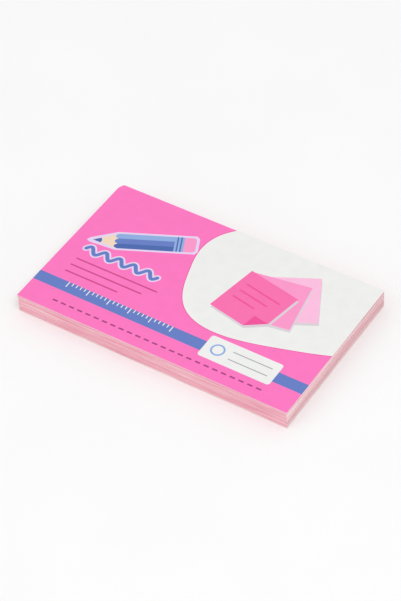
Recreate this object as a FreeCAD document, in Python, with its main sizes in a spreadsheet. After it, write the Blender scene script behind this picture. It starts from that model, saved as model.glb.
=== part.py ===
import FreeCAD, Part
import math
import os
import Sketcher

# Sticky note pad: a hundred paper notes between a printed cover sheet and a liner sheet.
#
# Every note carries one strip of removable adhesive on its underside, along its rear long edge, and holds
# to the note below it there and nowhere else. So the block is one comb of a hundred leaves, closed at the
# strip and open to the front, to both ends and in the narrow margin behind the strip. The lowest note's
# strip holds the liner, and a strip of its own holds the cover. The pad was trimmed as one stack, but its
# notes have slipped a little since, in bundles, so each note's edges lie just inside the cover's outline.
#
# Millimetres. The origin is the centre of the underside, +X runs along the long edge, +Y points to the
# rear edge with the adhesive, and +Z is up.

PARTS_FOLDER = "parts"

DRIVING_SIZES = [
    ("note_length", 127.0, "long edge of the pad"),
    ("note_width", 76.0, "short edge of the pad"),
    ("note_count", 100, "notes in the pad"),
    ("note_thickness", 0.075, "one note, 70 g offset paper"),
    ("film_thickness", 0.011, "one adhesive strip, pressed flat"),
    ("strip_width", 16.0, "adhesive strip, front to rear"),
    ("strip_margin", 2.0, "bare paper behind the strip"),
    ("cover_thickness", 0.16, "printed cover sheet"),
    ("liner_thickness", 0.14, "liner sheet under the last note"),
    ("bundle_slip", 0.24, "furthest that a bundle of notes has slipped in from the cover's edge"),
    ("rear_bundle_slip", 0.06, "the same at the rear edge, where the strips hold the notes"),
    ("note_scatter", 0.02, "furthest that a note lies inside its bundle's edge"),
]

# Heights that follow from the driving sizes, as expressions on the sheet.
NOTE_PITCH = "(sizes.note_thickness + sizes.film_thickness)"
FIRST_NOTE_Z = "(sizes.liner_thickness + sizes.film_thickness)"
TOP_FILM_Z = f"({FIRST_NOTE_Z} + sizes.note_count * {NOTE_PITCH} - sizes.film_thickness)"
COVER_Z = f"({TOP_FILM_Z} + sizes.film_thickness)"

# How the notes have slipped: in thin bundles, in thick bundles across those, and one by one inside them. From
# one bundle or note to the next a sine turns by the golden angle, so that neighbours are never alike. Each of
# the four edges starts at a phase of its own.
THIN_BUNDLE = 5
THICK_BUNDLE = 17
GOLDEN_ANGLE = math.radians(137.5)
EDGE_PHASE = {"left": 0.0, "right": 1.3, "front": 2.6, "rear": 3.9}


def make_sheet(doc):
    """The spreadsheet with one plain number and one alias for each driving size."""
    sheet = doc.addObject("Spreadsheet::Sheet", "sizes")
    for row, (alias, value, meaning) in enumerate(DRIVING_SIZES, start=1):
        sheet.set(f"A{row}", meaning)
        sheet.set(f"B{row}", str(value))
        sheet.setAlias(f"B{row}", alias)
    doc.recompute()
    return sheet


def bind(obj, expressions):
    """Binds each named property of an object to an expression on the sheet."""
    for prop, expression in expressions.items():
        obj.setExpression(prop, expression)


def origin_plane(body, role):
    """One of a body's own origin planes, such as XY_Plane."""
    return next(item for item in body.Origin.OriginFeatures if item.Role == role)


def add_outline(sketch):
    """A rectangle about the sketch's origin, as long and as wide as a note."""
    half_length = 50.0
    half_width = 30.0
    corners = [
        FreeCAD.Vector(-half_length, -half_width, 0),
        FreeCAD.Vector(half_length, -half_width, 0),
        FreeCAD.Vector(half_length, half_width, 0),
        FreeCAD.Vector(-half_length, half_width, 0),
    ]
    for index, start in enumerate(corners):
        sketch.addGeometry(Part.LineSegment(start, corners[(index + 1) % 4]), False)
    for index in range(4):
        sketch.addConstraint(Sketcher.Constraint("Coincident", index, 2, (index + 1) % 4, 1))
    sketch.addConstraint(Sketcher.Constraint("Horizontal", 0))
    sketch.addConstraint(Sketcher.Constraint("Horizontal", 2))
    sketch.addConstraint(Sketcher.Constraint("Vertical", 1))
    sketch.addConstraint(Sketcher.Constraint("Vertical", 3))
    sketch.addConstraint(Sketcher.Constraint("Symmetric", 0, 1, 1, 2, -1, 1))
    length = sketch.addConstraint(Sketcher.Constraint("DistanceX", 0, 1, 0, 2, 2 * half_length))
    sketch.renameConstraint(length, "length")
    width = sketch.addConstraint(Sketcher.Constraint("DistanceY", 1, 1, 1, 2, 2 * half_width))
    sketch.renameConstraint(width, "width")
    bind(sketch, {"Constraints.length": "sizes.note_length", "Constraints.width": "sizes.note_width"})


def make_cut_sheet(doc, label, thickness, height):
    """A flat sheet cut to the pad's outline, as thick as the sheet says, lying at a height."""
    body = doc.addObject("PartDesign::Body", label)
    body.Label = label
    sketch = body.newObject("Sketcher::SketchObject", f"{label}_outline")
    sketch.AttachmentSupport = [(origin_plane(body, "XY_Plane"), "")]
    sketch.MapMode = "FlatFace"
    add_outline(sketch)
    pad = body.newObject("PartDesign::Pad", f"{label}_pad")
    pad.Profile = sketch
    sketch.Visibility = False
    bind(pad, {"Length": thickness})
    bind(body, {"Placement.Base.z": height})
    return body


def inset(number, edge):
    """How far one edge of one note lies inside the cover's, as an expression on the sheet."""
    phase = EDGE_PHASE[edge]
    thin = math.sin(GOLDEN_ANGLE * (number // THIN_BUNDLE) + phase)
    thick = math.sin(GOLDEN_ANGLE * (number // THICK_BUNDLE) + 2 * phase)
    single = math.sin(GOLDEN_ANGLE * number + 3 * phase)
    # Each share of a slip runs from 0, flush with the cover, to 1, slipped in as far as it goes.
    bundle_share = 0.5 + 0.25 * thin + 0.25 * thick
    note_share = 0.5 + 0.5 * single
    slip = "sizes.rear_bundle_slip" if edge == "rear" else "sizes.bundle_slip"
    return f"({bundle_share:.4f} * {slip} + {note_share:.4f} * sizes.note_scatter)"


def make_note(doc, number):
    """One note of the block, trimmed to its own outline just inside the cover's."""
    left, right, front, rear = (inset(number, edge) for edge in ("left", "right", "front", "rear"))
    note = doc.addObject("Part::Box", f"note_{number:03d}")
    bind(note, {
        "Length": f"sizes.note_length - {left} - {right}",
        "Width": f"sizes.note_width - {front} - {rear}",
        "Height": "sizes.note_thickness",
        "Placement.Base.x": f"-sizes.note_length / 2 + {left}",
        "Placement.Base.y": f"-sizes.note_width / 2 + {front}",
        "Placement.Base.z": f"{FIRST_NOTE_Z} + {number} * {NOTE_PITCH}",
    })
    return note


def make_strip(doc, name, height):
    """One adhesive strip at a height. Its ends stop where the furthest slipped note does."""
    end_inset = "(sizes.bundle_slip + sizes.note_scatter)"
    strip = doc.addObject("Part::Box", name)
    strip.Label = name
    bind(strip, {
        "Length": f"sizes.note_length - 2 * {end_inset}",
        "Width": "sizes.strip_width",
        "Height": "sizes.film_thickness",
        "Placement.Base.x": f"-sizes.note_length / 2 + {end_inset}",
        "Placement.Base.y": "sizes.note_width / 2 - sizes.strip_margin - sizes.strip_width",
        "Placement.Base.z": height,
    })
    return strip


def make_note_block(doc, sheet):
    """All the notes, with the strip of each one that lies on another note, as one solid."""
    leaves = []
    for number in range(int(sheet.note_count)):
        leaves.append(make_note(doc, number))
        if number > 0:
            under_note = f"{FIRST_NOTE_Z} + {number} * {NOTE_PITCH} - sizes.film_thickness"
            leaves.append(make_strip(doc, f"strip_{number:03d}", under_note))
    block = doc.addObject("Part::MultiFuse", "note_block")
    block.Label = "note_block"
    block.Shapes = leaves
    return block


def check_document(doc):
    """Stops if any object of the document has failed."""
    for item in doc.Objects:
        failed = [word for word in ("Invalid", "Error") if word in item.State]
        if failed:
            raise RuntimeError(f"{item.Label} is {failed}")


def write_parts(parts):
    """Checks each sub-part's shape and writes it to a file of its own."""
    os.makedirs(PARTS_FOLDER, exist_ok=True)
    for part in parts:
        shape = part.Shape
        if shape.isNull() or not shape.isValid() or len(shape.Solids) != 1:
            raise RuntimeError(f"{part.Label} isn't one valid solid")
        shape.exportStep(os.path.join(PARTS_FOLDER, f"{part.Label}.step"))
        size = shape.BoundBox
        print(f"{part.Label}: {size.XLength:.3f} x {size.YLength:.3f} x {size.ZLength:.3f} mm, "
              f"from z {size.ZMin:.3f}, {shape.Volume:.1f} mm3, {len(shape.Faces)} faces")


def main():
    doc = FreeCAD.newDocument("sticky_note_pad")
    sheet = make_sheet(doc)
    parts = [
        make_cut_sheet(doc, "liner_sheet", "sizes.liner_thickness", "0 mm"),
        make_strip(doc, "liner_adhesive", "sizes.liner_thickness"),
        make_note_block(doc, sheet),
        make_strip(doc, "cover_adhesive", TOP_FILM_Z),
        make_cut_sheet(doc, "cover_sheet", "sizes.cover_thickness", COVER_Z),
    ]
    doc.recompute()
    check_document(doc)
    write_parts(parts)


main()
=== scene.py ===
"""The sticky note pad, dressed for its picture: a hundred loose-edged notes under a printed cover.

Everything is in metres, in the model's own frame: the origin is the centre of the underside, +X runs along
the long edge, +Y points to the rear edge with the adhesive, and +Z is up. The cover's print is drawn in
millimetres from the cover's front left corner.
"""

import math

import bmesh
import bpy
from mathutils import Matrix, Vector, geometry


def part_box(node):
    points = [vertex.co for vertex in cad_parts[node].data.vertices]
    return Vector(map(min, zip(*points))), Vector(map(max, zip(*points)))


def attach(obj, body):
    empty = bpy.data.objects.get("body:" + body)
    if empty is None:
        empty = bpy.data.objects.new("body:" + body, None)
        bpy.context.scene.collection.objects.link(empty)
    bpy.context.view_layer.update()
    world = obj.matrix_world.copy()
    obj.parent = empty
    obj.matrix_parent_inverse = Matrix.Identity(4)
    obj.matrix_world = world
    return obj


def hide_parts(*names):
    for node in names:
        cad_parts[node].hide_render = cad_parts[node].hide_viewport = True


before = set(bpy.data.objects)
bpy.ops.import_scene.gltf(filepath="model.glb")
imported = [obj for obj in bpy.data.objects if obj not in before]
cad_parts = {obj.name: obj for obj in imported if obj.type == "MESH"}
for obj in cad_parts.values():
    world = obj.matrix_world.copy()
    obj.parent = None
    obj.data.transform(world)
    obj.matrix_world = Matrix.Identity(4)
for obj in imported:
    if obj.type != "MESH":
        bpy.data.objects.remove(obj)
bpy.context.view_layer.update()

MM = 0.001

# The pad's sheets, as they lie in the model.
COVER_LOW, COVER_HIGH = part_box("cover_sheet")
BLOCK_LOW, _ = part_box("note_block")
STRIP_LOW, STRIP_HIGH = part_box("cover_adhesive")
COVER_LENGTH = (COVER_HIGH[0] - COVER_LOW[0]) / MM
COVER_WIDTH = (COVER_HIGH[1] - COVER_LOW[1]) / MM

# How far each note's edges lie inside the cover follows the same rule as the model's.
THIN_BUNDLE = 5
THICK_BUNDLE = 17
GOLDEN_ANGLE = math.radians(137.5)
EDGE_PHASE = {"left": 0.0, "right": 1.3, "front": 2.6, "rear": 3.9}

# Each side of a note's outline is cut into this many steps.
POINTS_PER_SIDE = 32

# Each note's edges stray inward besides, in waves of this length. The breadth sets the two opposite edges
# apart in the noise, and the step and the seeds do so for the bundles and for the ends and sides.
WANDER_LENGTH = 35 * MM
WANDER_BREADTH = 20 * MM
WANDER_STEP = 0.8
END_WANDER_SEED = 40.0
SIDE_WANDER_SEED = 0.0

# The rear left corner has been bumped and is blunt over this much of its two edges, most of all at the top.
# The middle of the blunt stretch is a share of either length away from where the sharp corner would be.
BUMP_ON_LEFT = 2.7 * MM
BUMP_ON_REAR = 1.3 * MM
BUMP_MIDDLE = {"left": 0.45, "rear": 0.4}
BUMP_OF_LOWEST_NOTE = 0.15

# The strips between the notes end this much further in than the cover's strip, clear of every strayed or
# blunt edge.
STRIP_SETBACK = 0.45 * MM

# The sizes that the stack of notes is made from, by the names of its tree's inputs.
STACK_SIZES = {
    "Note count": 100,
    "Note length": COVER_HIGH[0] - COVER_LOW[0],
    "Note width": COVER_HIGH[1] - COVER_LOW[1],
    "Note thickness": 0.075 * MM,
    "Film thickness": STRIP_HIGH[2] - STRIP_LOW[2],
    "First note height": BLOCK_LOW[2],
    "Bundle slip": 0.24 * MM,
    "Rear bundle slip": 0.06 * MM,
    "Note scatter": 0.02 * MM,
    "Edge wander": 0.12 * MM,
    "Bump on left": BUMP_ON_LEFT,
    "Bump on rear": BUMP_ON_REAR,
    "Strip length": STRIP_HIGH[0] - STRIP_LOW[0] - 2 * STRIP_SETBACK,
    "Strip width": STRIP_HIGH[1] - STRIP_LOW[1],
    "Strip middle": (STRIP_HIGH[1] + STRIP_LOW[1]) / 2,
}

# Each bundle takes up its own amount of dye, and each note one of its own, which counts by this share. This
# tone is also partly painted highlight and shade, for the light that slipped bundles catch and the shade
# under them.
NOTE_DYE_AND_SHADE_SHARE = 0.35
BUNDLE_DYE_AND_SHADE_SEED = 7
NOTE_DYE_AND_SHADE_SEED = 11

# The blade and handling leave each note's face paler in a rim along its edges.
RUBBED_RIM = 0.4 * MM

# The part of the noise textures' range that is spread over the whole range from 0 to 1.
NOISE_LOW, NOISE_HIGH = 0.3, 0.7

# The photograph's camera, moved round to face the pad: same place and distance, and a longer lens.
FRAME_HEIGHT_PX = 601
SENSOR = 36.0
FOCAL_PX = 2286.0
CAMERA_DISTANCE = 0.9187
CAMERA_AZIMUTH = math.radians(35.18)
CAMERA_ELEVATION = math.radians(45.16)
CAMERA_ROLL = math.radians(-3.7)

# Printing inks on the cover, as sRGB hex values.
INKS = {
    "fluorescent pink": "#FF73C1",
    "pink overlap": "#F0519F",
    "process blue": "#5F7AC5",
    "light blue": "#8DADE2",
    "deep blue": "#3E63AD",
    "lilac": "#E7D6F5",
    "bare paper": "#F1F2F0",
    "panel white": "#F0F1EE",
    "magenta line": "#CF3D8B",
    "plum dash": "#A3347C",
    "grey line": "#A6A8AB",
    "note pink": "#FB6CB0",
    "note pink pale": "#FD97CB",
    "note pink palest": "#FEBFE0",
    "turned corner": "#F3489A",
    "soft shade": "#DCD3DA",
    "pencil wood": "#F3D9BF",
}


def linear(hex_colour):
    """An sRGB hex colour as linear red, green, blue and an alpha of 1."""
    channels = [int(hex_colour[i:i + 2], 16) / 255 for i in (1, 3, 5)]
    return [c / 12.92 if c <= 0.04045 else ((c + 0.055) / 1.055) ** 2.4 for c in channels] + [1.0]


def add(tree, kind, inputs=None, **settings):
    """Adds a node with its settings. Each input given is a value, a socket to link, or a node, which stands
    for its first output."""
    node = tree.nodes.new(kind)
    for name, value in settings.items():
        setattr(node, name, value)
    for key, value in (inputs or {}).items():
        if isinstance(value, bpy.types.Node):
            value = value.outputs[0]
        if isinstance(value, bpy.types.NodeSocket):
            tree.links.new(value, node.inputs[key])
        else:
            node.inputs[key].default_value = value
    return node


# Outlines of the print, in millimetres.

def disc(x, y, radius, corners=40):
    """A round spot."""
    turns = [2 * math.pi * i / corners for i in range(corners)]
    return [(x + radius * math.cos(a), y + radius * math.sin(a)) for a in turns]


def bar(x0, y0, x1, y1):
    """A rectangle between two corners."""
    return [(x0, y0), (x1, y0), (x1, y1), (x0, y1)]


def rounded_bar(x0, y0, x1, y1, radius, steps=6):
    """A rectangle between two corners, with round corners of its own."""
    left, right, low, high = x0 + radius, x1 - radius, y0 + radius, y1 - radius
    points = []
    for quarter, (x, y) in enumerate([(right, high), (left, high), (left, low), (right, low)]):
        for step in range(steps + 1):
            angle = math.pi / 2 * (quarter + step / steps)
            points.append((x + radius * math.cos(angle), y + radius * math.sin(angle)))
    return points


def placed(points, x, y, degrees):
    """An outline turned about its own zero and moved to a place."""
    c, s = math.cos(math.radians(degrees)), math.sin(math.radians(degrees))
    return [(x + c * u - s * v, y + s * u + c * v) for u, v in points]


def rounded_panel(x, y, half_length, half_width, degrees, squareness=3.0, corners=120):
    """A tilted panel between an ellipse and a rectangle in shape."""
    points = []
    for i in range(corners):
        c, s = math.cos(2 * math.pi * i / corners), math.sin(2 * math.pi * i / corners)
        u = half_length * math.copysign(abs(c) ** (2 / squareness), c)
        v = half_width * math.copysign(abs(s) ** (2 / squareness), s)
        points.append((u, v))
    return placed(points, x, y, degrees)


def stroke(line, width, cap_steps=6):
    """The outline of a pen stroke of even width along a line, with round ends."""
    half = width / 2
    sides = ([], [])
    for i, (x, y) in enumerate(line):
        x0, y0 = line[max(i - 1, 0)]
        x1, y1 = line[min(i + 1, len(line) - 1)]
        length = math.hypot(x1 - x0, y1 - y0)
        nx, ny = -(y1 - y0) / length * half, (x1 - x0) / length * half
        sides[0].append((x + nx, y + ny))
        sides[1].append((x - nx, y - ny))
    outline = []
    for side, end in ((sides[0], line[-1]), (sides[1][::-1], line[0])):
        outline += side
        start = math.atan2(side[-1][1] - end[1], side[-1][0] - end[0])
        turns = [start - math.pi * step / cap_steps for step in range(1, cap_steps)]
        outline += [(end[0] + half * math.cos(a), end[1] + half * math.sin(a)) for a in turns]
    return outline


def pencil(x, y, degrees):
    """A pencil with its point at a place, as (ink, outline) pairs from the back to the front."""
    half, ridge = 4.3, 1.5
    lead_end, wood_end, body_end, ferrule_end, end = 3.4, 10.5, 34.0, 38.0, 43.0
    lower = [(-1.2, -1.3), (wood_end - 0.6, -half - 1.0), (end, -half - 1.0), (end + 1.2, -half + 0.6)]
    halo = [(-2.6, 0.0)] + lower + [(u, -v) for u, v in reversed(lower)]
    under_paint = wood_end + 1
    wood = [(0, 0), (wood_end, -half), (under_paint, -half), (under_paint, half), (wood_end, half)]
    lead_half = half * lead_end / wood_end
    lead = [(0, 0), (lead_end, -lead_half), (lead_end + 0.5, 0), (lead_end, lead_half)]
    shapes = [("lilac", halo), ("pencil wood", wood), ("deep blue", lead)]

    # Sharpening has cut a scallop into the painted end of each of the three facets.
    scallop_depth = 1.4
    scallop, shoulder = wood_end - scallop_depth, wood_end - 0.8 * scallop_depth
    facets = [
        ("deep blue", -half, -ridge, -(half + ridge) / 2),
        ("process blue", -ridge, ridge, 0.0),
        ("light blue", ridge, half, (half + ridge) / 2),
    ]
    for ink, low, high, crest in facets:
        front = [
            (wood_end, high), (shoulder, (high + crest) / 2), (scallop, crest),
            (shoulder, (low + crest) / 2), (wood_end, low),
        ]
        shapes.append((ink, front + [(body_end, low), (body_end, high)]))

    shapes.append(("light blue", bar(body_end, -half, ferrule_end, half)))
    for ring in (0.9, 2.4):
        shapes.append(("deep blue", bar(body_end + ring, -half, body_end + ring + 0.6, half)))
    eraser_half = half - 0.1
    shapes.append(("note pink pale", rounded_bar(ferrule_end, -eraser_half, end, eraser_half, 1.4)))
    shapes.append(("note pink pale", bar(ferrule_end, -eraser_half, ferrule_end + 2.0, eraser_half)))
    return [(ink, placed(outline, x, y, degrees)) for ink, outline in shapes]


def loose_note(x, y, degrees, ink, side=25.0, fold=0.0):
    """One pictured note on its soft shade, with its lower right corner turned up if it has a fold."""
    half = side / 2
    sheet = [(-half, -half), (half - fold, -half), (half, -half + fold), (half, half), (-half, half)]
    shapes = [("soft shade", placed(sheet, x + 0.9, y - 1.2, degrees)), (ink, placed(sheet, x, y, degrees))]
    if fold:
        flap = [(half - fold, -half), (half, -half + fold), (half - fold, -half + fold)]
        shapes.append(("turned corner", placed(flap, x, y, degrees)))
    return shapes


def artwork():
    """Everything printed on the cover, as (ink, outline) pairs from the back to the front."""
    shapes = [("fluorescent pink", bar(-1, -1, COVER_LENGTH + 1, COVER_WIDTH + 1))]

    # The stripe, with a ruler's ticks.
    stripe_low, stripe_high = 11.2, 16.7
    shapes.append(("process blue", bar(-1, stripe_low, COVER_LENGTH + 1, stripe_high)))
    first_tick, tick_step, tick_count, half_tick = 14.5, 2.0, 26, 0.22
    for tick in range(tick_count):
        x = first_tick + tick * tick_step
        height = 3.0 if tick % 5 == 0 else 1.6
        shapes.append(("bare paper", bar(x - half_tick, stripe_high - height, x + half_tick, stripe_high)))

    # The tilted panel, inside a thin line of bare paper and one of overlapping ink.
    x, y, half_length, half_width, tilt = 100.0, 60.0, 48.0, 32.0, 17.2
    for ink, margin in (("pink overlap", 1.3), ("bare paper", 0.95), ("panel white", 0.0)):
        shapes.append((ink, rounded_panel(x, y, half_length + margin, half_width + margin, tilt)))

    # Three loose notes in a fan, the front one with written lines.
    front_note = (85.0, 44.5, -11.0)
    shapes += loose_note(96.5, 52.5, 27.0, "note pink palest")
    shapes += loose_note(91.0, 48.5, 9.0, "note pink pale")
    shapes += loose_note(*front_note, "note pink", fold=7.0)
    for row in range(3):
        start, end, height = -8.5, 8.5 - 3.0 * row, 5.5 - 4.2 * row
        line = stroke([(start, height), (end, height)], 0.8)
        shapes.append(("turned corner", placed(line, *front_note)))

    # A wavy stroke on a wider pale one, and a pencil above it.
    start, middle, step, height, length = 9.0, 36.4, 0.35, 1.7, 7.0
    waved = [(i * step, math.sin(2 * math.pi * i * step / length)) for i in range(101)]
    wave = [(start + along, middle + height * up) for along, up in waved]
    shapes.append(("lilac", stroke(wave, 3.2)))
    shapes.append(("process blue", stroke(wave, 1.7)))
    shapes += pencil(8.5, 42.0, 25.0)

    # Three plain lines.
    for y, end in ((29.6, 48.0), (25.6, 43.0), (21.6, 34.0)):
        shapes.append(("magenta line", stroke([(9.0, y), (end, y)], 0.75)))

    # A label box with a ring and two lines.
    ring = (86.6, 14.8)
    shapes.append(("bare paper", rounded_bar(80.5, 8.8, 113.5, 20.8, 1.2)))
    shapes.append(("light blue", disc(*ring, 3.1)))
    shapes.append(("bare paper", disc(*ring, 2.3)))
    for y in (16.9, 12.7):
        shapes.append(("grey line", bar(92.5, y - 0.25, 110.5, y + 0.25)))

    # A row of dashes along the front edge.
    for x in range(14, 112, 4):
        shapes.append(("plum dash", bar(x, 4.9, x + 2.4, 5.7)))
    return shapes


def winds_round(point, outline):
    """Whether an outline goes round a point."""
    x, y = point
    turns = 0
    for (x0, y0), (x1, y1) in zip(outline, outline[1:] + outline[:1]):
        if (y0 <= y) != (y1 <= y):
            side = (x1 - x0) * (y - y0) - (x - x0) * (y1 - y0)
            if y0 <= y and side > 0:
                turns += 1
            elif y0 > y and side < 0:
                turns -= 1
    return turns != 0


def topmost_ink(point, shapes, boxes):
    """The ink of the last shape that covers a point."""
    x, y = point
    for (ink, outline), (x0, y0, x1, y1) in zip(reversed(shapes), reversed(boxes)):
        if x0 <= x <= x1 and y0 <= y <= y1 and winds_round(point, outline):
            return ink
    return "bare paper"


def cover_outline():
    """The cover's outline, a rectangle but for its blunt rear left corner."""
    left, rear = BUMP_ON_LEFT / MM, BUMP_ON_REAR / MM
    front_left, front_right, rear_right, _ = bar(0.0, 0.0, COVER_LENGTH, COVER_WIDTH)
    middle = (BUMP_MIDDLE["rear"] * rear, COVER_WIDTH - BUMP_MIDDLE["left"] * left)
    return [front_left, front_right, rear_right, (rear, COVER_WIDTH), middle, (0.0, COVER_WIDTH - left)]


def print_triangles(shapes):
    """The cover's face cut into triangles along the outline of every shape, as (points, [(corners, ink)])."""
    sheet = cover_outline()
    points, edges = [], []
    for outline in [sheet] + [outline for _, outline in shapes[1:]]:
        first = len(points)
        points += [Vector(point) for point in outline]
        edges += [(first + i, first + (i + 1) % len(outline)) for i in range(len(outline))]
    # Points inside the plain fields keep their triangles from getting long and thin.
    grid, same_point = 6.0, 1e-4
    for column in range(1, int(COVER_LENGTH / grid) + 1):
        for row in range(1, int(COVER_WIDTH / grid) + 1):
            points.append(Vector((column * grid, row * grid)))
    found, _, triangles, *_ = geometry.delaunay_2d_cdt(points, edges, [], 0, same_point)

    boxes = []
    for _, outline in shapes:
        xs, ys = [p[0] for p in outline], [p[1] for p in outline]
        boxes.append((min(xs), min(ys), max(xs), max(ys)))
    inked = []
    for triangle in triangles:
        middle = sum((found[i] for i in triangle), Vector((0, 0))) / 3
        if winds_round(middle, sheet):
            inked.append((tuple(triangle), topmost_ink(middle, shapes, boxes)))
    return found, inked


def printed_cover(face_material, paper_material):
    """The cover sheet: its printed face, its plain back and its white cut edge, as one closed mesh."""
    points, inked = print_triangles(artwork())
    bm = bmesh.new()
    ink_layer = bm.loops.layers.float_color.new("ink")
    used = sorted({corner for triangle, _ in inked for corner in triangle})

    def level(z):
        """The sheet's points at one height."""
        x0, y0, _ = COVER_LOW
        return {i: bm.verts.new((x0 + points[i].x * MM, y0 + points[i].y * MM, z)) for i in used}

    top, bottom = level(COVER_HIGH[2]), level(COVER_LOW[2])
    one_way = set()
    for triangle, ink in inked:
        face = bm.faces.new([top[i] for i in triangle])
        # The alpha says whether there is ink on the coating.
        colour = linear(INKS[ink])
        colour[3] = 0.0 if ink in ("bare paper", "panel white") else 1.0
        for loop in face.loops:
            loop[ink_layer] = colour
        back = bm.faces.new([bottom[i] for i in reversed(triangle)])
        back.material_index = 1
        a, b, c = triangle
        one_way |= {(a, b), (b, c), (c, a)}
    for a, b in one_way:
        if (b, a) not in one_way:
            bm.faces.new([bottom[a], bottom[b], top[b], top[a]]).material_index = 1
    mesh = bpy.data.meshes.new("printed_cover")
    bm.to_mesh(mesh)
    bm.free()
    mesh.materials.append(face_material)
    mesh.materials.append(paper_material)
    piece = bpy.data.objects.new("printed_cover", mesh)
    bpy.context.scene.collection.objects.link(piece)
    return piece


# The block of notes.

def bundle_of(tree, number, notes_in_bundle):
    """Which bundle a note lies in, counted from the lowest."""
    share = add(tree, "ShaderNodeMath", {0: number, 1: float(notes_in_bundle)}, operation="DIVIDE")
    return add(tree, "ShaderNodeMath", {0: share}, operation="FLOOR")


def note_inset(tree, number, edge, given):
    """How far one edge of a note lies inside the cover's: bundles slip and notes scatter."""
    phase = EDGE_PHASE[edge]

    def swing(count, start, share, middle):
        """A sine that turns by the golden angle from one bundle or note to the next, about a middle value."""
        angle = add(tree, "ShaderNodeMath", {0: count, 1: GOLDEN_ANGLE, 2: start}, operation="MULTIPLY_ADD")
        sine = add(tree, "ShaderNodeMath", {0: angle}, operation="SINE")
        return add(tree, "ShaderNodeMath", {0: sine, 1: share, 2: middle}, operation="MULTIPLY_ADD")

    # A bundle's share of its slip and a note's share of its scatter each lie between 0 and 1.
    thick = swing(bundle_of(tree, number, THICK_BUNDLE), 2 * phase, 0.25, 0.5)
    bundle = swing(bundle_of(tree, number, THIN_BUNDLE), phase, 0.25, thick)
    single = swing(number, 3 * phase, 0.5, 0.5)
    scatter = add(tree, "ShaderNodeMath", {0: single, 1: given["Note scatter"]}, operation="MULTIPLY")
    slip = given["Rear bundle slip" if edge == "rear" else "Bundle slip"]
    return add(tree, "ShaderNodeMath", {0: bundle, 1: slip, 2: scatter}, operation="MULTIPLY_ADD")


def edge_wander(tree, along, across, number, seed):
    """How far a note's edge strays inward, from 0 to 1. The notes of one bundle stray together."""
    along = add(tree, "ShaderNodeMath", {0: along, 1: WANDER_LENGTH}, operation="DIVIDE")
    across = add(tree, "ShaderNodeMath", {0: across, 1: WANDER_BREADTH}, operation="DIVIDE")
    bundle = add(tree, "ShaderNodeMath", {
        0: bundle_of(tree, number, THIN_BUNDLE), 1: WANDER_STEP, 2: seed,
    }, operation="MULTIPLY_ADD")
    place = add(tree, "ShaderNodeCombineXYZ", {0: along, 1: bundle, 2: across})
    noise = add(tree, "ShaderNodeTexNoise", {"Vector": place, "Scale": 1.0, "Detail": 2.0})
    return add(tree, "ShaderNodeMapRange", {0: noise, 1: NOISE_LOW, 2: NOISE_HIGH})


def mark_blunt_points(tree, note):
    """Draws a unit note's rear left corner and its two neighbours together, each marked with its place on the
    blunt stretch, as shares of the stretch's lengths on the rear and left edges."""
    place = add(tree, "ShaderNodeSeparateXYZ", {0: add(tree, "GeometryNodeInputPosition")}).outputs
    count, half = float(POINTS_PER_SIDE), POINTS_PER_SIDE / 2
    on_rear = add(tree, "ShaderNodeMath", {0: place[0], 1: count, 2: half}, operation="MULTIPLY_ADD")
    on_left = add(tree, "ShaderNodeMath", {0: place[1], 1: -count, 2: half}, operation="MULTIPLY_ADD")
    # The corner is no step from itself, and each neighbour is one step from it.
    steps = add(tree, "ShaderNodeMath", {0: on_rear, 1: on_left})
    near = add(tree, "ShaderNodeMath", {0: steps, 1: 1.5}, operation="LESS_THAN")
    # The corner goes to the middle of the stretch, and each neighbour to its own end.
    at_corner = add(tree, "ShaderNodeMath", {0: 1.0, 1: steps}, operation="SUBTRACT")
    rear_share = add(tree, "ShaderNodeMath", {
        0: at_corner, 1: BUMP_MIDDLE["rear"], 2: on_rear,
    }, operation="MULTIPLY_ADD")
    left_share = add(tree, "ShaderNodeMath", {
        0: at_corner, 1: BUMP_MIDDLE["left"], 2: on_left,
    }, operation="MULTIPLY_ADD")
    shares = add(tree, "ShaderNodeCombineXYZ", {0: rear_share, 1: left_share})
    marked = add(tree, "GeometryNodeStoreNamedAttribute", {
        "Geometry": note, "Selection": near, "Name": "blunt", "Value": shares,
    }, data_type="FLOAT_VECTOR", domain="POINT")
    corner = add(tree, "ShaderNodeCombineXYZ", {0: -0.5, 1: 0.5, 2: place[2]})
    return add(tree, "GeometryNodeSetPosition", {"Geometry": marked, "Selection": near, "Position": corner})


def corner_bump(tree, number, given):
    """The push that spreads a note's marked points over its blunt stretch, shortest in the lowest note."""
    shares = add(tree, "GeometryNodeInputNamedAttribute", {"Name": "blunt"}, data_type="FLOAT_VECTOR")
    forward = add(tree, "ShaderNodeMath", {0: given["Bump on left"], 1: -1.0}, operation="MULTIPLY")
    lengths = add(tree, "ShaderNodeCombineXYZ", {0: given["Bump on rear"], 1: forward})
    push = add(tree, "ShaderNodeVectorMath", {0: shares, 1: lengths}, operation="MULTIPLY")
    fade = add(tree, "ShaderNodeMapRange", {
        0: number, 1: 0.0, 2: given["Note count"], 3: BUMP_OF_LOWEST_NOTE, 4: 1.0,
    })
    return add(tree, "ShaderNodeVectorMath", {0: push, "Scale": fade}, operation="SCALE")


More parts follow.
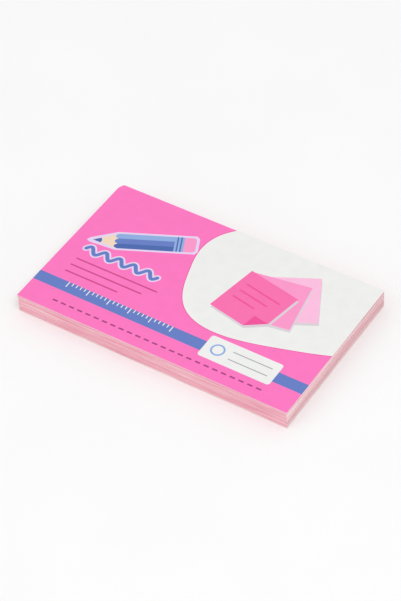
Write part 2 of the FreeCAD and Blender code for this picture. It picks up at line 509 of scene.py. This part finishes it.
def unit_note(tree):
    """A note one unit long, wide and thick, with points along its edges and its cut faces marked."""
    square = add(tree, "GeometryNodeCurvePrimitiveQuadrilateral", {0: 1.0, 1: 1.0}, mode="RECTANGLE")
    points = add(tree, "GeometryNodeResampleCurve", {"Curve": square, "Count": 4 * POINTS_PER_SIDE})
    sheet = add(tree, "GeometryNodeFillCurve", {0: points}, mode="NGONS")
    raised = add(tree, "GeometryNodeExtrudeMesh", {
        "Mesh": sheet, "Offset": (0.0, 0.0, 1.0), "Offset Scale": 1.0, "Individual": False,
    })
    edge = add(tree, "GeometryNodeStoreNamedAttribute", {
        "Geometry": raised, "Selection": raised.outputs["Side"], "Name": "cut", "Value": True,
    }, data_type="BOOLEAN", domain="FACE")
    under = add(tree, "GeometryNodeFlipFaces", {0: sheet})
    both = add(tree, "GeometryNodeJoinGeometry")
    tree.links.new(edge.outputs[0], both.inputs[0])
    tree.links.new(under.outputs[0], both.inputs[0])
    note = add(tree, "GeometryNodeMergeByDistance", {"Geometry": both, "Distance": 0.0001})
    return mark_blunt_points(tree, note)


def laid_notes(tree, given, step, paper, cut_edge):
    """The notes at their heights, each a little short, strayed along its edges and blunt at one corner."""
    number = add(tree, "GeometryNodeInputIndex")
    inset = {edge: note_inset(tree, number, edge, given) for edge in EDGE_PHASE}

    def spread(low, high, size):
        """A note's size and middle between two opposite edges that have slipped in."""
        lost = add(tree, "ShaderNodeMath", {0: inset[low], 1: inset[high]})
        kept = add(tree, "ShaderNodeMath", {0: given[size], 1: lost}, operation="SUBTRACT")
        shift = add(tree, "ShaderNodeMath", {0: inset[low], 1: inset[high]}, operation="SUBTRACT")
        return kept, add(tree, "ShaderNodeMath", {0: shift, 1: 0.5}, operation="MULTIPLY")

    length, middle_x = spread("left", "right", "Note length")
    width, middle_y = spread("front", "rear", "Note width")
    note_size = add(tree, "ShaderNodeCombineXYZ", {0: length, 1: width, 2: given["Note thickness"]})
    note_middle = add(tree, "ShaderNodeCombineXYZ", {0: middle_x, 1: middle_y})

    first = add(tree, "ShaderNodeCombineXYZ", {2: given["First note height"]})
    places = add(tree, "GeometryNodeMeshLine", {
        "Count": given["Note count"], "Start Location": first, "Offset": step,
    }, mode="OFFSET")
    places = add(tree, "GeometryNodeStoreNamedAttribute", {
        "Geometry": places, "Name": "note_number", "Value": number,
    }, data_type="FLOAT", domain="POINT")
    # Each bundle's and note's tone on the cut edges is partly painted highlight and shade.
    bundle_dye_and_shade = add(tree, "FunctionNodeRandomValue", {
        "ID": bundle_of(tree, number, THIN_BUNDLE), "Seed": BUNDLE_DYE_AND_SHADE_SEED,
    }, data_type="FLOAT")
    note_dye_and_shade = add(tree, "FunctionNodeRandomValue", {"ID": number, "Seed": NOTE_DYE_AND_SHADE_SEED}, data_type="FLOAT")
    dye_and_painted_shade = add(tree, "ShaderNodeMix", {
        0: NOTE_DYE_AND_SHADE_SHARE, 2: bundle_dye_and_shade.outputs[1], 3: note_dye_and_shade.outputs[1],
    }, data_type="FLOAT")
    places = add(tree, "GeometryNodeStoreNamedAttribute", {
        "Geometry": places, "Name": "dye_and_painted_shade", "Value": dye_and_painted_shade,
    }, data_type="FLOAT", domain="POINT")
    places = add(tree, "GeometryNodeSetPosition", {"Geometry": places, "Offset": note_middle})
    notes = add(tree, "GeometryNodeInstanceOnPoints", {
        "Points": places, "Instance": unit_note(tree), "Scale": note_size,
    })
    notes = add(tree, "GeometryNodeRealizeInstances", {0: notes})

    place = add(tree, "ShaderNodeSeparateXYZ", {0: add(tree, "GeometryNodeInputPosition")}).outputs
    stored = add(tree, "GeometryNodeInputNamedAttribute", {"Name": "note_number"}, data_type="FLOAT")
    moved = []
    for along, across, size, seed in (
        (1, 0, "Note length", END_WANDER_SEED), (0, 1, "Note width", SIDE_WANDER_SEED),
    ):
        stray = edge_wander(tree, place[along], place[across], stored, seed)
        stray = add(tree, "ShaderNodeMath", {0: stray, 1: given["Edge wander"]}, operation="MULTIPLY")
        half = add(tree, "ShaderNodeMath", {0: given[size], 1: 0.5}, operation="MULTIPLY")
        part = add(tree, "ShaderNodeMath", {0: place[across], 1: half}, operation="DIVIDE")
        outward = add(tree, "ShaderNodeMath", {0: stray, 1: part}, operation="MULTIPLY")
        moved.append(add(tree, "ShaderNodeMath", {0: outward, 1: -1.0}, operation="MULTIPLY"))
    offset = add(tree, "ShaderNodeCombineXYZ", {0: moved[0], 1: moved[1]})
    notes = add(tree, "GeometryNodeSetPosition", {"Geometry": notes, "Offset": offset})
    bump = corner_bump(tree, stored, given)
    notes = add(tree, "GeometryNodeSetPosition", {"Geometry": notes, "Offset": bump})
    notes = add(tree, "GeometryNodeSetMaterial", {"Geometry": notes, "Material": paper})
    is_cut = add(tree, "GeometryNodeInputNamedAttribute", {"Name": "cut"}, data_type="BOOLEAN")
    return add(tree, "GeometryNodeSetMaterial", {
        "Geometry": notes, "Selection": is_cut, "Material": cut_edge,
    })


def laid_strips(tree, given, step, adhesive):
    """The adhesive strips, one on every note but the highest."""
    size = add(tree, "ShaderNodeCombineXYZ", {
        0: given["Strip length"], 1: given["Strip width"], 2: given["Film thickness"],
    })
    strip = add(tree, "GeometryNodeMeshCube", {"Size": size})
    half_film = add(tree, "ShaderNodeMath", {0: given["Film thickness"], 1: 0.5}, operation="MULTIPLY")
    height = add(tree, "ShaderNodeMath", {0: given["First note height"], 1: given["Note thickness"]})
    height = add(tree, "ShaderNodeMath", {0: height, 1: half_film})
    first = add(tree, "ShaderNodeCombineXYZ", {1: given["Strip middle"], 2: height})
    count = add(tree, "ShaderNodeMath", {0: given["Note count"], 1: 1.0}, operation="SUBTRACT")
    places = add(tree, "GeometryNodeMeshLine", {
        "Count": count, "Start Location": first, "Offset": step,
    }, mode="OFFSET")
    strips = add(tree, "GeometryNodeInstanceOnPoints", {"Points": places, "Instance": strip})
    strips = add(tree, "GeometryNodeRealizeInstances", {0: strips})
    return add(tree, "GeometryNodeSetMaterial", {"Geometry": strips, "Material": adhesive})


def note_stack_tree(paper, cut_edge, adhesive):
    """Geometry nodes that lay the notes and the adhesive strips between them."""
    tree = bpy.data.node_groups.new("note stack", "GeometryNodeTree")
    tree.interface.new_socket("Notes", in_out="OUTPUT", socket_type="NodeSocketGeometry")
    for name, size in STACK_SIZES.items():
        kind = "NodeSocketInt" if isinstance(size, int) else "NodeSocketFloat"
        tree.interface.new_socket(name, in_out="INPUT", socket_type=kind)
    given = tree.nodes.new("NodeGroupInput").outputs
    pitch = add(tree, "ShaderNodeMath", {0: given["Note thickness"], 1: given["Film thickness"]})
    step = add(tree, "ShaderNodeCombineXYZ", {2: pitch})
    notes = laid_notes(tree, given, step, paper, cut_edge)
    strips = laid_strips(tree, given, step, adhesive)
    stack = add(tree, "GeometryNodeJoinGeometry")
    tree.links.new(strips.outputs[0], stack.inputs[0])
    tree.links.new(notes.outputs[0], stack.inputs[0])
    add(tree, "NodeGroupOutput", {0: stack})
    return tree


def stack_of_notes(paper, cut_edge, adhesive):
    """The hundred notes and the strips between them, as one mesh."""
    piece = bpy.data.objects.new("note_stack", bpy.data.meshes.new("note_stack"))
    bpy.context.scene.collection.objects.link(piece)
    layers = piece.modifiers.new("note stack", "NODES")
    layers.node_group = note_stack_tree(paper, cut_edge, adhesive)
    for item in layers.node_group.interface.items_tree:
        if item.in_out == "INPUT":
            layers[item.identifier] = STACK_SIZES[item.name]
    bpy.context.view_layer.update()
    evaluated = piece.evaluated_get(bpy.context.evaluated_depsgraph_get())
    mesh = bpy.data.meshes.new_from_object(evaluated)
    piece.modifiers.remove(layers)
    piece.data = mesh
    return piece


# Materials.

def new_material(name):
    """An empty material, its node tree, its shader and its place on the object in metres."""
    material = bpy.data.materials.new(name)
    material.use_nodes = True
    tree = material.node_tree
    shader = next(node for node in tree.nodes if node.type == "BSDF_PRINCIPLED")
    place = add(tree, "ShaderNodeTexCoord").outputs["Object"]
    return material, tree, shader, place


def offset_printed_paper():
    """One-side coated art paper, offset printed. The inks lie flat and glossier than the bare coating."""
    material, tree, shader, place = new_material("offset printed coated paper")
    ink = add(tree, "ShaderNodeAttribute", attribute_name="ink", attribute_type="GEOMETRY")
    # Inks and bare coating alike cloud slightly over about 5 mm, as the fibres below them do.
    cloud = add(tree, "ShaderNodeTexNoise", {"Vector": place, "Scale": 1 / (5 * MM), "Detail": 3.0})
    shade = add(tree, "ShaderNodeMapRange", {0: cloud, 1: NOISE_LOW, 2: NOISE_HIGH, 3: 0.965, 4: 1.0})
    colour = add(tree, "ShaderNodeMix", {
        0: 1.0, 6: ink.outputs["Color"], 7: shade,
    }, data_type="RGBA", blend_type="MULTIPLY")
    tree.links.new(colour.outputs[2], shader.inputs["Base Color"])
    gloss = add(tree, "ShaderNodeMapRange", {0: ink.outputs["Alpha"], 3: 0.52, 4: 0.42})
    tree.links.new(gloss.outputs[0], shader.inputs["Roughness"])
    # The coating's fine unevenness, drawn at 0.9 mm, coarser than the real fibres, so that it shows.
    grain = add(tree, "ShaderNodeTexNoise", {"Vector": place, "Scale": 1 / (0.9 * MM), "Detail": 4.0})
    bump = add(tree, "ShaderNodeBump", {"Strength": 0.25, "Distance": 0.02 * MM, "Height": grain})
    tree.links.new(bump.outputs[0], shader.inputs["Normal"])
    shader.inputs["IOR"].default_value = 1.5
    return material


def rubbed_rim(tree, place):
    """1 in a narrow rim along the edges of the pad's outline and 0 further in, with a soft step between."""
    parts = add(tree, "ShaderNodeSeparateXYZ", {0: place}).outputs
    near = []
    for axis in (0, 1):
        half = (COVER_HIGH[axis] - COVER_LOW[axis]) / 2
        out = add(tree, "ShaderNodeMath", {0: parts[axis]}, operation="ABSOLUTE")
        near.append(add(tree, "ShaderNodeMapRange", {0: out, 1: half - 2 * RUBBED_RIM, 2: half - RUBBED_RIM}))
    return add(tree, "ShaderNodeMath", {0: near[0], 1: near[1]}, operation="MAXIMUM")


def plain_paper(name, light, dark, roughness, cloud_size, grain_size, grain_depth, rim=None):
    """Uncoated paper: a faint cloudy formation over a fine fibre grain, and a rubbed rim if it is dyed."""
    material, tree, shader, place = new_material(name)
    cloud = add(tree, "ShaderNodeTexNoise", {"Vector": place, "Scale": 1 / cloud_size, "Detail": 4.0})
    share = add(tree, "ShaderNodeMapRange", {0: cloud, 1: NOISE_LOW, 2: NOISE_HIGH})
    colour = add(tree, "ShaderNodeMix", {0: share, 6: linear(dark), 7: linear(light)}, data_type="RGBA")
    if rim:
        colour = add(tree, "ShaderNodeMix", {
            0: rubbed_rim(tree, place), 6: colour.outputs[2], 7: linear(rim),
        }, data_type="RGBA")
    tree.links.new(colour.outputs[2], shader.inputs["Base Color"])
    # The grain is drawn coarser than single fibres, which are too fine to show.
    grain = add(tree, "ShaderNodeTexNoise", {"Vector": place, "Scale": 1 / grain_size, "Detail": 5.0})
    bump = add(tree, "ShaderNodeBump", {"Strength": 0.4, "Distance": grain_depth, "Height": grain})
    tree.links.new(bump.outputs[0], shader.inputs["Normal"])
    shader.inputs["Roughness"].default_value = roughness
    shader.inputs["IOR"].default_value = 1.47
    return material


def guillotined_edge():
    """The trimmed edges of dyed paper, which the blade leaves paler than the faces and in streaks. The
    streaks are partly painted highlight and shade, and the short ends' paler colours are painted sheen.
    """
    material, tree, shader, place = new_material("guillotined dyed paper edge")
    streak_low, streak_high = 0.34, 0.66
    note_streak_share, dye_and_shade_share, band_share = 0.45, 0.4, 0.4

    def streaks(length, height, start=0.0):
        """Soft streaks of one length and height along the edges, from 0 to 1."""
        flat = add(tree, "ShaderNodeMapping", {
            "Vector": place, "Location": (0.0, 0.0, start), "Scale": (1 / length, 1 / length, 1 / height),
        })
        noise = add(tree, "ShaderNodeTexNoise", {"Vector": flat, "Scale": 1.0, "Detail": 2.0})
        return add(tree, "ShaderNodeMapRange", {0: noise, 1: streak_low, 2: streak_high})

    # Streaks a thick bundle high and streaks two notes high, which is as fine as the picture shows. Both are
    # partly painted highlight and shade, for the light caught by slipped notes and the shade under them.
    bundles = streaks(length=34 * MM, height=1.3 * MM)
    notes = streaks(length=12 * MM, height=0.2 * MM)
    dye_and_painted_shade = add(tree, "ShaderNodeAttribute", attribute_name="dye_and_painted_shade", attribute_type="GEOMETRY").outputs["Fac"]
    both = add(tree, "ShaderNodeMix", {0: note_streak_share, 2: bundles, 3: notes}, data_type="FLOAT")
    mixed = add(tree, "ShaderNodeMix", {0: dye_and_shade_share, 2: both, 3: dye_and_painted_shade}, data_type="FLOAT")
    # The short ends have broad bands too, a third of the pad high, with the darkest midway up.
    bands = streaks(length=90 * MM, height=3.2 * MM, start=3.6)
    banded = add(tree, "ShaderNodeMix", {0: band_share, 2: mixed, 3: bands}, data_type="FLOAT")

    def streaked(share, dark, middle, light):
        """Three colours of one side, from its dark streaks to its light ones."""
        ramp = add(tree, "ShaderNodeValToRGB", {0: share})
        ends = ramp.color_ramp.elements
        ends[0].position, ends[0].color = 0.15, linear(dark)
        ends[1].position, ends[1].color = 0.85, linear(light)
        ends.new(0.5).color = linear(middle)
        return ramp

    # The two short ends get paler and greyer colours than the long sides: painted sheen, standing in for
    # light glancing off them.
    long_side = streaked(mixed, dark="#E38FA6", middle="#F9B8C8", light="#FFE9E7")
    short_end_painted_sheen = streaked(banded, dark="#CBA6AA", middle="#F0D3D5", light="#FFF7F4")
    normal = add(tree, "ShaderNodeNewGeometry").outputs["Normal"]
    along_pad = add(tree, "ShaderNodeSeparateXYZ", {0: normal})
    along_pad = add(tree, "ShaderNodeMath", {0: along_pad}, operation="ABSOLUTE")
    is_end = add(tree, "ShaderNodeMapRange", {0: along_pad, 1: 0.5, 2: 0.9})
    colour = add(tree, "ShaderNodeMix", {0: is_end, 6: long_side, 7: short_end_painted_sheen}, data_type="RGBA")
    tree.links.new(colour.outputs[2], shader.inputs["Base Color"])
    shader.inputs["Roughness"].default_value = 0.9
    shader.inputs["IOR"].default_value = 1.47
    return material


def dried_adhesive():
    """Removable microsphere adhesive, dried to a milky film that is rough where the spheres stand out."""
    material, tree, shader, place = new_material("dried removable adhesive")
    # The spheres are drawn at 0.12 mm, coarser than the real ones, so that they show.
    beads = add(tree, "ShaderNodeTexVoronoi", {"Vector": place, "Scale": 1 / (0.12 * MM)})
    colour = add(tree, "ShaderNodeMix", {
        0: beads, 6: linear("#F1DEDD"), 7: linear("#E7C9CB"),
    }, data_type="RGBA")
    tree.links.new(colour.outputs[2], shader.inputs["Base Color"])
    bump = add(tree, "ShaderNodeBump", {"Strength": 0.5, "Distance": 0.01 * MM, "Height": beads})
    tree.links.new(bump.outputs[0], shader.inputs["Normal"])
    shader.inputs["Roughness"].default_value = 0.55
    shader.inputs["IOR"].default_value = 1.48
    return material


# The maps that the exported model's pictures are baked through. Each field is a rectangle of the square map,
# as its left, bottom, right and top.

MAP_NAME = "OFBake"
COVER_FIELDS = {
    "top": (0.0, 0.31, 1.0, 1.0),
    "bottom": (0.0, 0.1, 1.0, 0.3),
    "front": (0.0, 0.0, 1.0, 0.02),
    "rear": (0.0, 0.025, 1.0, 0.045),
    "left": (0.0, 0.05, 0.6, 0.07),
    "right": (0.0, 0.075, 0.6, 0.095),
}
# The cut edges show and get most of the room. The notes' faces are hidden but for their rims, and share one
# field.
CUT_EDGE_FIELDS = {
    "front": (0.0, 0.0, 1.0, 0.19),
    "rear": (0.0, 0.2, 1.0, 0.39),
    "left": (0.0, 0.4, 0.495, 0.59),
    "right": (0.505, 0.4, 1.0, 0.59),
}
NOTE_FACE_FIELD = (0.0, 0.6, 1.0, 0.96)
STRIP_FIELD = (0.0, 0.97, 1.0, 1.0)
# The two axes that each side of the pad spreads along.
SIDE_AXES = {
    "left": (1, 2), "right": (1, 2), "front": (0, 2), "rear": (0, 2), "bottom": (0, 1), "top": (0, 1),
}


def side_of_pad(normal):
    """The side of the pad that a face belongs to, by the way it faces."""
    axis = max(range(3), key=lambda i: abs(normal[i]))
    return (("left", "right"), ("front", "rear"), ("bottom", "top"))[axis][normal[axis] > 0]


def lay_on_map(piece, fields):
    """Gives a piece a map on which each face lies in the field of its material and side."""
    mesh = piece.data
    spots = mesh.uv_layers.new(name=MAP_NAME).uv
    places = [vertex.co for vertex in mesh.vertices]
    low = [min(place[axis] for place in places) for axis in range(3)]
    size = [max(place[axis] for place in places) - low[axis] for axis in range(3)]
    for face in mesh.polygons:
        side = side_of_pad(face.normal)
        left, bottom, right, top = fields[mesh.materials[face.material_index]][side]
        across, up = SIDE_AXES[side]
        for corner in face.loop_indices:
            place = places[mesh.loops[corner].vertex_index]
            u = (place[across] - low[across]) / size[across]
            v = (place[up] - low[up]) / size[up]
            spots[corner].vector = (left + u * (right - left), bottom + v * (top - bottom))


# The studio.

def studio_floor(material):
    """A pale floor just under the pad."""
    reach, gap = 3.0, 0.02 * MM
    mesh = bpy.data.meshes.new("floor")
    corners = [(x, y, -gap) for x, y in bar(-reach, -reach, reach, reach)]
    mesh.from_pydata(corners, [], [(0, 1, 2, 3)])
    mesh.materials.append(material)
    floor = bpy.data.objects.new("floor", mesh)
    bpy.context.scene.collection.objects.link(floor)


def aim(place, target, roll=0.0):
    """The matrix of a camera or lamp at a place, looking at a target and turned about its line of sight."""
    forward = (target - place).normalized()
    right = forward.cross(Vector((0, 0, 1))).normalized()
    up = right.cross(forward)
    turned_right = right * math.cos(roll) + up * math.sin(roll)
    turned_up = up * math.cos(roll) - right * math.sin(roll)
    turn = Matrix((turned_right, turned_up, -forward)).transposed()
    return Matrix.Translation(place) @ turn.to_4x4()


def softbox(name, place, size, watts):
    """A square lamp aimed at the pad."""
    light = bpy.data.lights.new(name, "AREA")
    light.shape = "SQUARE"
    light.size = size
    light.energy = watts
    lamp = bpy.data.objects.new(name, light)
    lamp.matrix_world = aim(Vector(place), Vector((0, 0, 0)))
    bpy.context.scene.collection.objects.link(lamp)


def studio_light():
    """Even white surroundings, a large key lamp from the right and front, and a weak fill from the left."""
    world = bpy.data.worlds.new("studio")
    world.use_nodes = True
    surroundings = next(node for node in world.node_tree.nodes if node.type == "BACKGROUND")
    surroundings.inputs["Color"].default_value = linear("#FFFFFF")
    surroundings.inputs["Strength"].default_value = 0.8
    bpy.context.scene.world = world
    softbox("key", place=(0.9, -0.45, 1.7), size=1.0, watts=8.5)
    softbox("fill", place=(-0.7, -1.1, 0.8), size=1.0, watts=1.5)
    bpy.context.scene.view_settings.view_transform = "Standard"


def photograph_camera():
    """The camera at the photograph's place, aimed at the pad's middle."""
    flat, rise = math.cos(CAMERA_ELEVATION), math.sin(CAMERA_ELEVATION)
    back = Vector((math.sin(CAMERA_AZIMUTH) * flat, -math.cos(CAMERA_AZIMUTH) * flat, rise))
    place = Vector((0, 0, COVER_HIGH[2])) + back * CAMERA_DISTANCE
    data = bpy.data.cameras.new("camera")
    data.sensor_width = SENSOR
    data.lens = FOCAL_PX * SENSOR / FRAME_HEIGHT_PX
    data.clip_start = 0.01
    camera = bpy.data.objects.new("camera", data)
    camera.matrix_world = aim(place, Vector((0, 0, COVER_HIGH[2] / 2)), CAMERA_ROLL)
    bpy.context.scene.collection.objects.link(camera)
    bpy.context.scene.camera = camera


def main():
    """Builds the two pieces that replace solids, dresses the other nodes and sets up the studio."""
    white_paper = plain_paper(
        "uncoated white paper", light="#F7F5F2", dark="#EEEBE6", roughness=0.85,
        cloud_size=6 * MM, grain_size=0.4 * MM, grain_depth=0.01 * MM)
    note_paper = plain_paper(
        "fluorescent dyed offset paper", light="#FF8DB8", dark="#FA7EAE", roughness=0.88,
        cloud_size=4 * MM, grain_size=0.35 * MM, grain_depth=0.01 * MM, rim="#F5BCC9")
    liner_paper = plain_paper(
        "siliconised liner paper", light="#F3F0EA", dark="#E8E3DB", roughness=0.45,
        cloud_size=8 * MM, grain_size=0.6 * MM, grain_depth=0.005 * MM)
    adhesive = dried_adhesive()
    printed_paper = offset_printed_paper()
    cut_edge = guillotined_edge()

    cover = printed_cover(printed_paper, white_paper)
    lay_on_map(cover, {printed_paper: COVER_FIELDS, white_paper: COVER_FIELDS})
    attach(cover, "root")
    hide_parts("cover_sheet")

    notes = stack_of_notes(note_paper, cut_edge, adhesive)
    lay_on_map(notes, {
        cut_edge: CUT_EDGE_FIELDS,
        note_paper: dict.fromkeys(SIDE_AXES, NOTE_FACE_FIELD),
        adhesive: dict.fromkeys(SIDE_AXES, STRIP_FIELD),
    })
    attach(notes, "root")
    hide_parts("note_block")

    for node, material in (
        ("liner_sheet", liner_paper), ("cover_adhesive", adhesive), ("liner_adhesive", adhesive),
    ):
        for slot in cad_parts[node].material_slots:
            slot.material = material

    board = plain_paper(
        "matt white board", light="#FCFCFC", dark="#FAFAFA", roughness=0.95,
        cloud_size=60 * MM, grain_size=1.5 * MM, grain_depth=0.02 * MM)
    studio_floor(board)
    studio_light()
    photograph_camera()


main()
